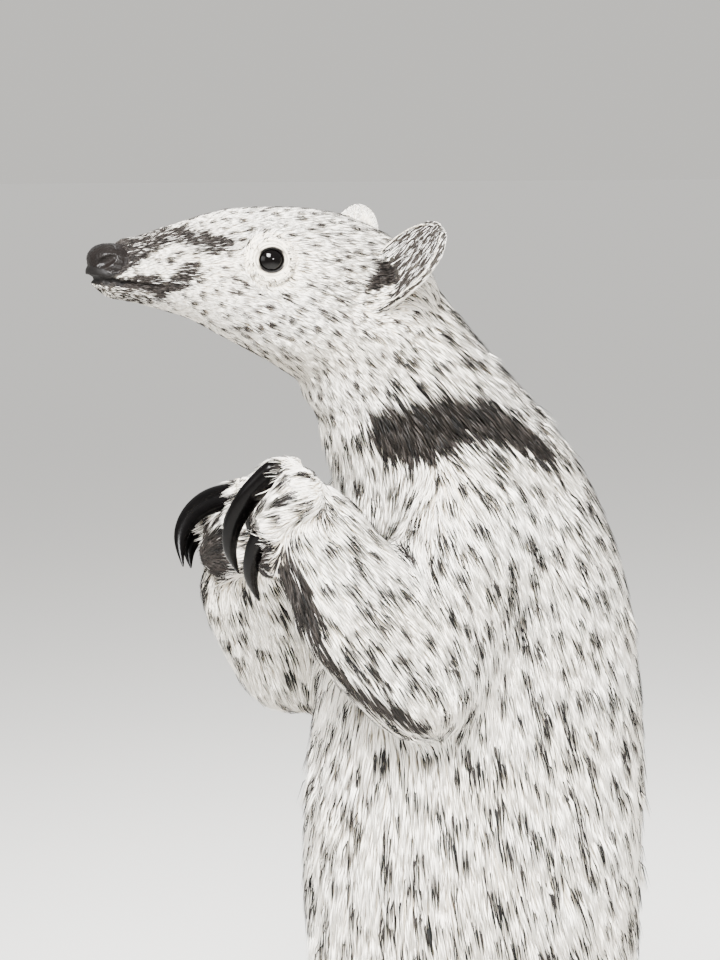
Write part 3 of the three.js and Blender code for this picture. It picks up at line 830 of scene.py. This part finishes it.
nose = voxelled("nose_pad", grown_copy(["nose"], 0.1), 0.3)
nose_spots = spread(places(nose.data), edge_pairs(nose.data), 5)
offset = nose_spots - NOSE
behind = np.sqrt(np.maximum(1 - (np.maximum(offset[:, 1], 0) / NOSE_HALF[1]) ** 2, 0.4))
below = np.sqrt(np.maximum(1 - (np.maximum(-offset[:, 2], 0) / NOSE_HALF[2]) ** 2, 0.55))
nose_spots = NOSE + offset * np.stack([1 / (behind * below), 1 / below, 1 / behind], axis=1)
nose_spots = np.clip(nose_spots, NOSE - NOSE_HALF, NOSE + NOSE_HALF)
put(nose.data, nose_spots)
tree = point_tree(cell_centres(nose_spots, PEBBLE, 5))
gaps = np.array([[found[2] for found in tree.find_n(spot, 2)] for spot in nose_spots.tolist()])
pebble = (ease(gaps[:, 1] - gaps[:, 0], 0, PEBBLE_EDGE) - 0.7) * PEBBLE_HEIGHT
in_nostril = ease(inside_line(mirrored(nose_spots) - NOSE, NOSTRIL), -0.5, 0.5)
inward = unit(NOSE - nose_spots) * (in_nostril * NOSTRIL_DEPTH)[:, None]
put(nose.data, nose_spots + point_normals(nose.data) * (pebble * (1 - in_nostril))[:, None] + inward)
print("nose", len(nose_spots), "points")

# %% [markdown]
# The claws are smooth horn. The solid's loose triangles are merged and joined back to quads, because
# subdivision rounds quads evenly and would leave a star at each corner of a triangle.

# %% Round the claws
QUAD_LIMITS = {"angle_face_threshold": 0.7, "angle_shape_threshold": 0.7}
claws = {}
for kind, digits in (("fore", range(1, 5)), ("hind", range(1, 6))):
    for side in SIDES:
        nodes = [f"{kind}_claw_{digit}_{side}" for digit in digits]
        mould = grown_copy(nodes, 0)
        bmesh.ops.join_triangles(mould, faces=mould.faces, **QUAD_LIMITS)
        made = finished(f"{kind}_claws_{side}", mould)
        smooth = made.modifiers.new("rounding", "SUBSURF")
        smooth.levels = smooth.render_levels = 2
        claws[apply_modifiers(made)] = nodes
print("claws", [len(made.data.polygons) for made in claws], "faces")

# %% [markdown]
# The coat is made of small solid tufts, each a few hairs pressed together. A tuft starts in the skin,
# bends over along the lie of the hair and ends at the surface of the coat. Roots are shared out over the
# skin's triangles by area and crowding, so that no bald spots are left between them.

# %% Choose where the tufts grow
TUFTS = 148_000
draw = np.random.default_rng(7)
corners = spots[triangles]
area = np.linalg.norm(np.cross(corners[:, 1] - corners[:, 0], corners[:, 2] - corners[:, 0]), axis=1) / 2
crowd = area * facts[triangles, CROWD].mean(axis=1) * ~bare[triangles].any(axis=1)
reach = np.cumsum(crowd) / crowd.sum() * TUFTS
home = np.minimum(np.searchsorted(reach, np.arange(TUFTS) + draw.uniform(0, 1, TUFTS)), len(triangles) - 1)
a, b = draw.uniform(0, 1, (2, TUFTS))
weights = np.stack([1 - np.sqrt(a), np.sqrt(a) * (1 - b), np.sqrt(a) * b], axis=1)


def at_roots(values):
    return (values[triangles[home]] * weights[:, :, None]).sum(axis=1)


root, root_normal, root_lie = at_roots(spots), unit(at_roots(normals)), at_roots(lie)
root_facts = at_roots(facts)
root_owner = owner[triangles[home, weights.argmax(axis=1)]]
print("area", round(area.sum() / 100), "cm2;", TUFTS, "tufts on", len(np.unique(home)), "triangles")

# %% [markdown]
# In the drawing the hair of the hands runs out over the roots of the claws. So a second search tree holds
# the claws as well as the skin, and only hair from the hands and feet is laid on it.

# %% Let the hair cover the claws' roots
sheets = [(spots, triangles)]
face_lie = [lie[triangles].mean(axis=1)]
face_normal = [unit(normals[triangles].mean(axis=1))]
for made, nodes in claws.items():
    made.data.calc_loop_triangles()
    horn = np.array([tuple(triangle.vertices) for triangle in made.data.loop_triangles])
    sheets.append((places(made.data), horn))
    face_normal.append(unit(point_normals(made.data)[horn].mean(axis=1)))
    way = np.array(LIMB_LIE["hand" if "fore" in nodes[0] else "foot"])
    way = way * (1 if "left" in nodes[0] else -1, 1, 1)
    face_lie.append(laid_flat(np.tile(way, (len(horn), 1)), face_normal[-1]))
CLAWED_TREE = tree_of(*sheets)
face_lie, face_normal = np.concatenate(face_lie), np.concatenate(face_normal)
clawed = belongs(root_owner, "hand", "foot").tolist()
print(sum(clawed), "tufts may lie on a claw")

# %% [markdown]
# Where a tuft's middle and tip come to lie is found by walking along the skin: nearly half its length from
# the root along the lie, then back onto the surface, then the rest with the lie found there. Neighbours
# draw together into clumps, and a clump here and there stands out, as along the drawing's outline. A tip
# that would pass through the skin or a claw stops short of it, and none dips below the floor.

# %% Lay the tufts along the skin
ROOT_SINK, MID_RISE, MID_SHARE, SWAY, STOP_SHARE = 0.25, 0.6, 0.45, 0.12, 0.75
CLUMP_SIZE, CLUMP_PULL, CLUMP_REACH, MID_PULL, STAND_OUT = 13, 0.3, 12, 0.4, 0.05


def walk(starts, steps):
    """The nearest places after each step, on the skin or a claw, with the normal and the lie there."""
    found = [(CLAWED_TREE if near else SURFACE_TREE).find_nearest(spot)
             for spot, near in zip((starts + steps).tolist(), clawed)]
    face = np.array([hit[2] for hit in found])
    return np.array([hit[0] for hit in found]), face_normal[face], face_lie[face]


length = root_facts[:, LENGTH] * draw.uniform(0.75, 1.2, TUFTS)
depth = root_facts[:, DEPTH] * draw.uniform(0.75, 1.1, TUFTS)
sway = root_lie + np.cross(root_normal, root_lie) * draw.normal(0, SWAY, TUFTS)[:, None]
mid, mid_normal, mid_lie = walk(root, unit(sway) * (length * MID_SHARE)[:, None])
tip, tip_normal, _ = walk(mid, unit(mid_lie) * (length * (1 - MID_SHARE))[:, None])

leaders = draw.choice(TUFTS, TUFTS // CLUMP_SIZE, replace=False)
tree = point_tree(root[leaders])
leader = leaders[[tree.find(spot)[1] for spot in root.tolist()]]
stands_out = np.where(draw.uniform(0, 1, TUFTS) < STAND_OUT, draw.uniform(1.2, 1.7, TUFTS), 1)[leader]
near = (np.linalg.norm(tip[leader] - tip, axis=1) < CLUMP_REACH)[:, None]
tip = tip + (tip[leader] - tip) * CLUMP_PULL * near
mid = mid + (mid[leader] - mid) * CLUMP_PULL * MID_PULL * near
mid = mid + mid_normal * (depth * MID_RISE * stands_out)[:, None]
tip = tip + tip_normal * (depth * stands_out)[:, None]
base = root - root_normal * ROOT_SINK
for k in range(TUFTS):
    step = Vector(tip[k] - mid[k])
    struck = CLAWED_TREE.ray_cast(Vector(mid[k]), step, step.length)[0]
    if struck is not None:
        tip[k] = mid[k] + (np.array(struck) - mid[k]) * STOP_SHARE
mid[:, 2], tip[:, 2] = np.maximum(mid[:, 2], 0.25), np.maximum(tip[:, 2], 0.2)
print("longest tuft", round(float(length.max()), 1), "mm; coat reaches", tip.max(axis=0).round(1))

# %% [markdown]
# The drawing scatters small bundles of dark, parallel strokes over the pale coat. So dark tufts are
# picked in small ovals, smaller and closer together on the head than on the body, and each of them
# rises a little above its pale neighbours. Elsewhere chance decides, by how dark the markings and the painted
# shade are there.

# %% Pick the ticks
TICK_HEAD, TICK_BODY, TICK_LIFT, TICK_CHANCE, TICK_THIN = 4.7, 8.6, 0.24, 0.65, 0.75
CELL = 12


def spaced(spots, apart, seed):
    """A random choice of spots that keep their distance, up to CELL, from each other."""
    kept, cells = [], {}
    for k in np.random.default_rng(seed).permutation(len(spots)).tolist():
        spot, gap = spots[k], apart[k]
        cell = tuple((spot // CELL).astype(int))
        near = [j for x in (-1, 0, 1) for y in (-1, 0, 1) for z in (-1, 0, 1)
                for j in cells.get((cell[0] + x, cell[1] + y, cell[2] + z), ())]
        if not near or (((spots[near] - spot) ** 2).sum(axis=1) > gap * gap).all():
            cells.setdefault(cell, []).append(k)
            kept.append(k)
    return np.array(kept)


on_head = belongs(root_owner, "head")
choice = np.flatnonzero(draw.uniform(0, 1, TUFTS) < 0.3)
ticks = choice[spaced(root[choice], np.where(on_head, TICK_HEAD, TICK_BODY)[choice], 3)]
tick_wide = draw.uniform(2, 4.8, len(ticks)) * np.where(on_head[ticks], 0.48, 1)
tick_long = draw.uniform(1.6, 5, len(ticks)) * np.where(on_head[ticks], 0.42, 1)
tree = point_tree(root[ticks])
nearest_tick = np.array([tree.find(spot)[1] for spot in root.tolist()])
away = root - root[ticks][nearest_tick]
tick_lie = root_lie[ticks][nearest_tick]
tick_across = np.cross(root_normal[ticks][nearest_tick], tick_lie)
along, across = (away * tick_lie).sum(axis=1), (away * tick_across).sum(axis=1)
in_tick = np.hypot(along / tick_long[nearest_tick], across / tick_wide[nearest_tick]) < 1
in_ear = belongs(root_owner, "ear")
chance = darkness(mid * 0.4 + tip * 0.6, np.where(in_ear[:, None], root_normal, mid_normal), root_owner)
ticked = in_tick & (draw.uniform(0, 1, TUFTS) < TICK_CHANCE) & ~in_ear
lift = (TICK_LIFT * (0.5 + root_facts[:, DEPTH]) * ticked)[:, None]
mid, tip = mid + mid_normal * lift, tip + tip_normal * lift * 0.6
is_dark = (draw.uniform(0, 1, TUFTS) < chance) | ticked
print(len(ticks), "ticks;", round(100 * is_dark.mean()), "% of the tufts are dark")

# %% [markdown]
# Most hairs are ivory, warmer in some places than in others and a little darker at the root. Dark hairs
# run from black to a soft grey-brown. Colours are written as on a screen and turned to linear light.

# %% Colour the tufts
def linear(code):
    parts = np.array([int(code[k : k + 2], 16) for k in (1, 3, 5)]) / 255
    return np.where(parts <= 0.04045, parts / 12.92, ((parts + 0.055) / 1.055) ** 2.4)


IVORY, IVORY_WARM, IVORY_ROOT = linear("#fffcf6"), linear("#f9f2e6"), linear("#ece2cf")
INK, INK_SOFT = linear("#0a0908"), linear("#3d3733")
warm = np.clip(0.35 + 0.3 * drift(root, 45, 4) + draw.normal(0, 0.12, TUFTS), 0, 1)[:, None]
light_tip = IVORY * (1 - warm) + IVORY_WARM * warm
grey = np.where(ticked & ~on_head, 0.1, 0.5)
soft = np.clip(grey + draw.uniform(-0.3, 0.35, TUFTS), 0, 1)[:, None]
dark_tip = INK * (1 - soft) + INK_SOFT * soft
tip_colour = np.where(is_dark[:, None], dark_tip, light_tip)
light_root = np.where(chance[:, None] > 0.6, dark_tip, IVORY_ROOT)
root_colour = np.where(is_dark[:, None], dark_tip * 0.7, light_root)
mid_colour = root_colour * 0.35 + tip_colour * 0.65
width_share = draw.uniform(0.7, 1.25, TUFTS) * np.where(ticked, TICK_THIN, 1)
print("mean tip colour", tip_colour.mean(axis=0).round(2))

# %% [markdown]
# Thousands of tufts become one mesh per region, so that no mesh grows too large to open. Every tuft has
# seven points: three round its root, three at its bend and one at its tip.

# %% Name the coat's pieces
COAT_PIECES = {
    "head_left": (["head"], 1), "head_right": (["head"], -1), "ears": (sided(["ear"]), 0),
    "neck": (["neck"], 0), "chest_left": (["chest"], 1), "chest_right": (["chest"], -1),
    "belly_left": (["belly"], 1), "belly_right": (["belly"], -1),
    "rump_left": (["rump"], 1), "rump_right": (["rump"], -1),
    "arm_left": (["upper_arm_left", "forearm_left"], 0),
    "arm_right": (["upper_arm_right", "forearm_right"], 0),
    "hands": (sided(["hand"]), 0),
    "leg_left": (["thigh_left", "shin_left", "foot_left"], 0),
    "leg_right": (["thigh_right", "shin_right", "foot_right"], 0),
    "tail": (["tail_1", "tail_2", "tail_3", "tail_4"], 0),
}
TUFT_FACES = np.array([(0, 3, 4), (0, 4, 1), (1, 4, 5), (1, 5, 2), (0, 2, 5), (0, 5, 3)]
                      + [(3, 6, 4), (4, 6, 5), (5, 6, 3), (0, 1, 2)])
HALF_ROOT, HALF_MID, RIDGE = 0.42, 0.5, 0.4
print(len(COAT_PIECES), "pieces,", len(TUFT_FACES), "triangles a tuft")

# %% [markdown]
# The map called OFBake gives each tuft a small patch of its own, at the place of its root on a cylinder
# unrolled round its part of the body. Arrays fill the meshes, because a loop over every tuft is slow.

# %% Build the coat
PATCH = 0.003
TUFT_PATCH = np.array([(-0.5, -0.5), (0.5, -0.5), (0, -0.45)]
                      + [(-0.4, 0.1), (0.4, 0.1), (0, 0.15), (0, 0.5)]) * PATCH


def unrolled(spots):
    """Where spots fall on a cylinder round their own longest axis, cut open and laid flat, from 0 to 1."""
    middle = spots.mean(axis=0)
    axes = np.linalg.svd(spots[::7] - middle, full_matrices=False)[2]
    local = (spots - middle) @ axes.T
    angle = np.arctan2(local[:, 2], local[:, 1]) / (2 * np.pi) + 0.5
    span = local[:, 0].max() - local[:, 0].min()
    return np.stack([angle, (local[:, 0] - local[:, 0].min()) / span], axis=1)


def tuft_points(pick):
    size = (root_facts[pick, WIDTH] * width_share[pick])[:, None]
    side = unit(np.cross(mid[pick] - base[pick], root_normal[pick]))
    far_side = unit(np.cross(tip[pick] - mid[pick], mid_normal[pick]))
    points = [base[pick] - side * size * HALF_ROOT, base[pick] + side * size * HALF_ROOT]
    points += [base[pick] + root_normal[pick] * size * RIDGE]
    points += [mid[pick] - far_side * size * HALF_MID, mid[pick] + far_side * size * HALF_MID]
    points += [mid[pick] + mid_normal[pick] * size * RIDGE, tip[pick]]
    return np.stack(points, axis=1)


def paint(mesh, name, shades):
    layer = mesh.color_attributes.new(name, "FLOAT_COLOR", "POINT")
    layer.data.foreach_set("color", np.column_stack([shades, np.ones(len(shades))]).ravel())


def coat_mesh(name, pick, homes):
    points = tuft_points(pick)
    points[:, :, 2] = np.maximum(points[:, :, 2], 0.1)
    faces = (TUFT_FACES + 7 * np.arange(len(pick))[:, None, None]).reshape(-1)
    mesh = bpy.data.meshes.new(name)
    mesh.vertices.add(len(pick) * 7)
    mesh.loops.add(len(faces))
    mesh.polygons.add(len(faces) // 3)
    mesh.loops.foreach_set("vertex_index", faces)
    mesh.polygons.foreach_set("loop_start", np.arange(0, len(faces), 3))
    mesh.polygons.foreach_set("use_smooth", np.ones(len(faces) // 3, dtype=bool))
    put(mesh, points.reshape(-1, 3))
    shades = np.stack([root_colour[pick]] * 3 + [mid_colour[pick]] * 3 + [tip_colour[pick]], axis=1)
    paint(mesh, "coat_colour", shades.reshape(-1, 3))
    patches = homes[:, None] + TUFT_PATCH
    mesh.uv_layers.new(name="OFBake").data.foreach_set("uv", patches.reshape(-1, 2)[faces].ravel())
    mesh.update()
    return mesh


coat = {}
for region, (nodes, side) in COAT_PIECES.items():
    mine = np.isin(root_owner, [FLESH.index(node) for node in nodes])
    if side:
        mine &= (root[:, 0] >= 0) == (side > 0)
    pick = np.flatnonzero(mine)
    homes = np.zeros((len(pick), 2))
    for k, node in enumerate(nodes):
        here = root_owner[pick] == FLESH.index(node)
        homes[here] = (unrolled(root[pick][here]) * 0.98 + (k, 0) + (0.01, 0.01)) / (len(nodes), 1)
    coat[region] = new_object(f"coat_{region}", coat_mesh(f"coat_{region}", pick, homes))
    print(region, len(pick), "tufts")

# %% [markdown]
# A material is a small tree of nodes. One helper makes a new tree, one sets a node's inputs or links them
# to another node, and one adds a node. With them a finish takes only a few lines.

# %% Write helpers for finishes
def material(name):
    made = bpy.data.materials.new(name)
    made.use_nodes = True
    return made, made.node_tree, made.node_tree.nodes["Principled BSDF"]


def set_inputs(tree, node, inputs):
    for socket, value in inputs.items():
        if isinstance(value, bpy.types.NodeSocket):
            tree.links.new(value, node.inputs[socket])
        else:
            node.inputs[socket].default_value = value


def add(tree, kind, inputs, **settings):
    node = tree.nodes.new(kind)
    for setting, value in settings.items():
        setattr(node, setting, value)
    set_inputs(tree, node, inputs)
    return node


def rgb(code):
    return (*linear(code), 1)


PER_METRE = 1000
print("a 2 mm pattern has the scale", PER_METRE / 2)

# %% [markdown]
# Each finish starts from what the real one is. Colours that follow the markings and the painted shade come
# from the meshes themselves, and a pattern's scale is one over its size, which is given in millimetres. The
# dark finishes reflect less than a real wet surface does, because the drawing shows them as pure black.

# %% Make the finishes
# Dry keratin: guard hairs with a soft, silky shine.
HAIR, tree, shader = material("guard_hair_keratin")
shade = add(tree, "ShaderNodeAttribute", {}, attribute_name="coat_colour")
set_inputs(tree, shader, {"Base Color": shade.outputs["Color"], "Roughness": 0.55, "IOR": 1.3})

# Thin furred skin: dull, finely grained, pale under pale hair, dark on the pads and dark where shade is
# painted.
SKIN, tree, shader = material("living_skin")
shade = add(tree, "ShaderNodeAttribute", {}, attribute_name="skin_colour")
where = add(tree, "ShaderNodeTexCoord", {})
grain = add(tree, "ShaderNodeTexVoronoi", {"Vector": where.outputs["Object"], "Scale": PER_METRE / 1.4})
bump = {"Strength": 0.5, "Distance": 0.2 * MM, "Height": grain.outputs["Distance"]}
relief = add(tree, "ShaderNodeBump", bump)
set_inputs(tree, shader, {"Base Color": shade.outputs["Color"], "Roughness": 0.6, "IOR": 1.25,
                          "Normal": relief.outputs["Normal"]})

# Nose leather: bare, moist and pebbled, so that it glints between its grains.
NOSE_SKIN, tree, shader = material("moist_nose_leather")
where = add(tree, "ShaderNodeTexCoord", {})
cloud = add(tree, "ShaderNodeTexNoise", {"Vector": where.outputs["Object"], "Scale": PER_METRE / 5})
tone = add(tree, "ShaderNodeValToRGB", {"Fac": cloud.outputs["Fac"]})
tone.color_ramp.elements[0].color, tone.color_ramp.elements[1].color = rgb("#060505"), rgb("#171311")
set_inputs(tree, shader, {"Base Color": tone.outputs["Color"], "Roughness": 0.36, "IOR": 1.24})

# Cornea over a black-brown iris: wet and mirror smooth.
EYE_GLOSS, tree, shader = material("wet_cornea")
set_inputs(tree, shader, {"Base Color": rgb("#030202"), "Roughness": 0.03, "IOR": 1.28})

# Claw horn: black, hard keratin with fine lines along it, polished by wear.
HORN, tree, shader = material("claw_horn")
where = add(tree, "ShaderNodeTexCoord", {})
lines = {"Vector": where.outputs["Object"], "Scale": PER_METRE / 2.5, "Detail": 4}
streak = add(tree, "ShaderNodeTexNoise", lines)
tone = add(tree, "ShaderNodeValToRGB", {"Fac": streak.outputs["Fac"]})
tone.color_ramp.elements[0].color, tone.color_ramp.elements[1].color = rgb("#010101"), rgb("#060505")
bump = {"Strength": 0.3, "Distance": 0.1 * MM, "Height": streak.outputs["Fac"]}
relief = add(tree, "ShaderNodeBump", bump)
set_inputs(tree, shader, {"Base Color": tone.outputs["Color"], "Roughness": 0.22, "IOR": 1.17,
                          "Normal": relief.outputs["Normal"]})

print("finishes:", ", ".join(finish.name for finish in (HAIR, SKIN, NOSE_SKIN, EYE_GLOSS, HORN)))

# %% [markdown]
# Each piece gets its finish and the body that it moves with. The skin takes
# the place of all the solids of flesh. Thin dark lines are painted in the lids' grooves as shade, so that the
# wrinkles show.

# %% Dress the pieces
PALE_SKIN, DARK_SKIN = linear("#ebe0cd"), linear("#0b0908")


def paint_skin(mesh, share):
    pale = ((1 - share) ** 2)[:, None]
    paint(mesh, "skin_colour", PALE_SKIN * pale + DARK_SKIN * (1 - pale))


def dress(made, finish):
    made.data.materials.clear()
    made.data.materials.append(finish)
    made.data.polygons.foreach_set("use_smooth", np.ones(len(made.data.polygons), dtype=bool))
    made.data.update()
    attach(made, "root")


paint_skin(skin.data, dark_skin)
for made in lids:
    aside, ahead = eye_distance(places(made.data))
    # The grooves of the lids' wrinkles are painted dark as shade; the rim at the opening is the lids' own
    # dark colour.
    groove = np.clip(-np.sin(2 * np.pi * (aside - OPENING) / WRINKLE_GAP), 0, 1) * ease(-aside, -9.5, -6)
    paint_skin(made.data, np.maximum(ease(-aside, -OPENING - 0.5, -OPENING - 0.1), 0.45 * groove))
dress(skin, SKIN)
for made in lids:
    dress(made, SKIN)
for made in eyes:
    dress(made, EYE_GLOSS)
for made in claws:
    dress(made, HORN)
dress(nose, NOSE_SKIN)
for made in coat.values():
    dress(made, HAIR)
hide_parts(*FLESH)
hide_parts("nose")
for side, made in zip(SIDES, eyes):
    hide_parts(f"eye_{side}")
for made, nodes in claws.items():
    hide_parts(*nodes)
print(len([skin, nose, *lids, *eyes, *claws, *coat.values()]), "pieces dressed")

# %% [markdown]
# The studio is a wide pale floor under a white sky that is a little darker low down, just as bright as
# the far floor, so that no edge shows behind the animal. The strongest light stands over the viewer's
# shoulder, a small one beside the animal puts the spark in its eye, and broad, weak ones in front and
# behind soften the shadows.

# %% Light the studio
FLOOR_SIZE, LIGHTS_AIM = 30, (0, -0.1, 0.25)
mould = bmesh.new()
bmesh.ops.create_grid(mould, x_segments=1, y_segments=1, size=FLOOR_SIZE)
floor = finished("studio_floor", mould)
PAPER, tree, shader = material("matt_studio_paper")
set_inputs(tree, shader, {"Base Color": rgb("#f0eee9"), "Roughness": 0.9})
floor.data.materials.append(PAPER)
world = bpy.data.worlds.new("studio")
world.use_nodes = True
where = add(world.node_tree, "ShaderNodeTexCoord", {})
height = add(world.node_tree, "ShaderNodeSeparateXYZ", {"Vector": where.outputs["Generated"]})
sky = add(world.node_tree, "ShaderNodeValToRGB", {"Fac": height.outputs["Z"]})
sky.color_ramp.elements[0].color, sky.color_ramp.elements[1].color = rgb("#ebe9e4"), rgb("#ffffff")
sky.color_ramp.elements[0].position, sky.color_ramp.elements[1].position = 0.05, 0.4
background = world.node_tree.nodes["Background"]
set_inputs(world.node_tree, background, {"Color": sky.outputs["Color"], "Strength": 0.9})
bpy.context.scene.world = world
LIGHTS = {
    "key": ((1.5, -1.1, 1.7), 0.9, 38, 50),
    "eye_spark": ((2.1, 0.1, 0.75), 0.3, 4, 60),
    "front": ((0.6, -2.2, 0.7), 1.2, 3, 60),
    "back": ((-1.3, 1.4, 1.5), 1.2, 8, 60),
}
for name, (place, size, power, spread_angle) in LIGHTS.items():
    lamp = bpy.data.lights.new(name, "AREA")
    lamp.size, lamp.energy, lamp.spread = size, power, np.radians(spread_angle)
    made = new_object(name, lamp)
    made.location = place
    made.rotation_euler = (Vector(place) - Vector(LIGHTS_AIM)).to_track_quat("Z", "Y").to_euler()
print("lights:", ", ".join(LIGHTS))
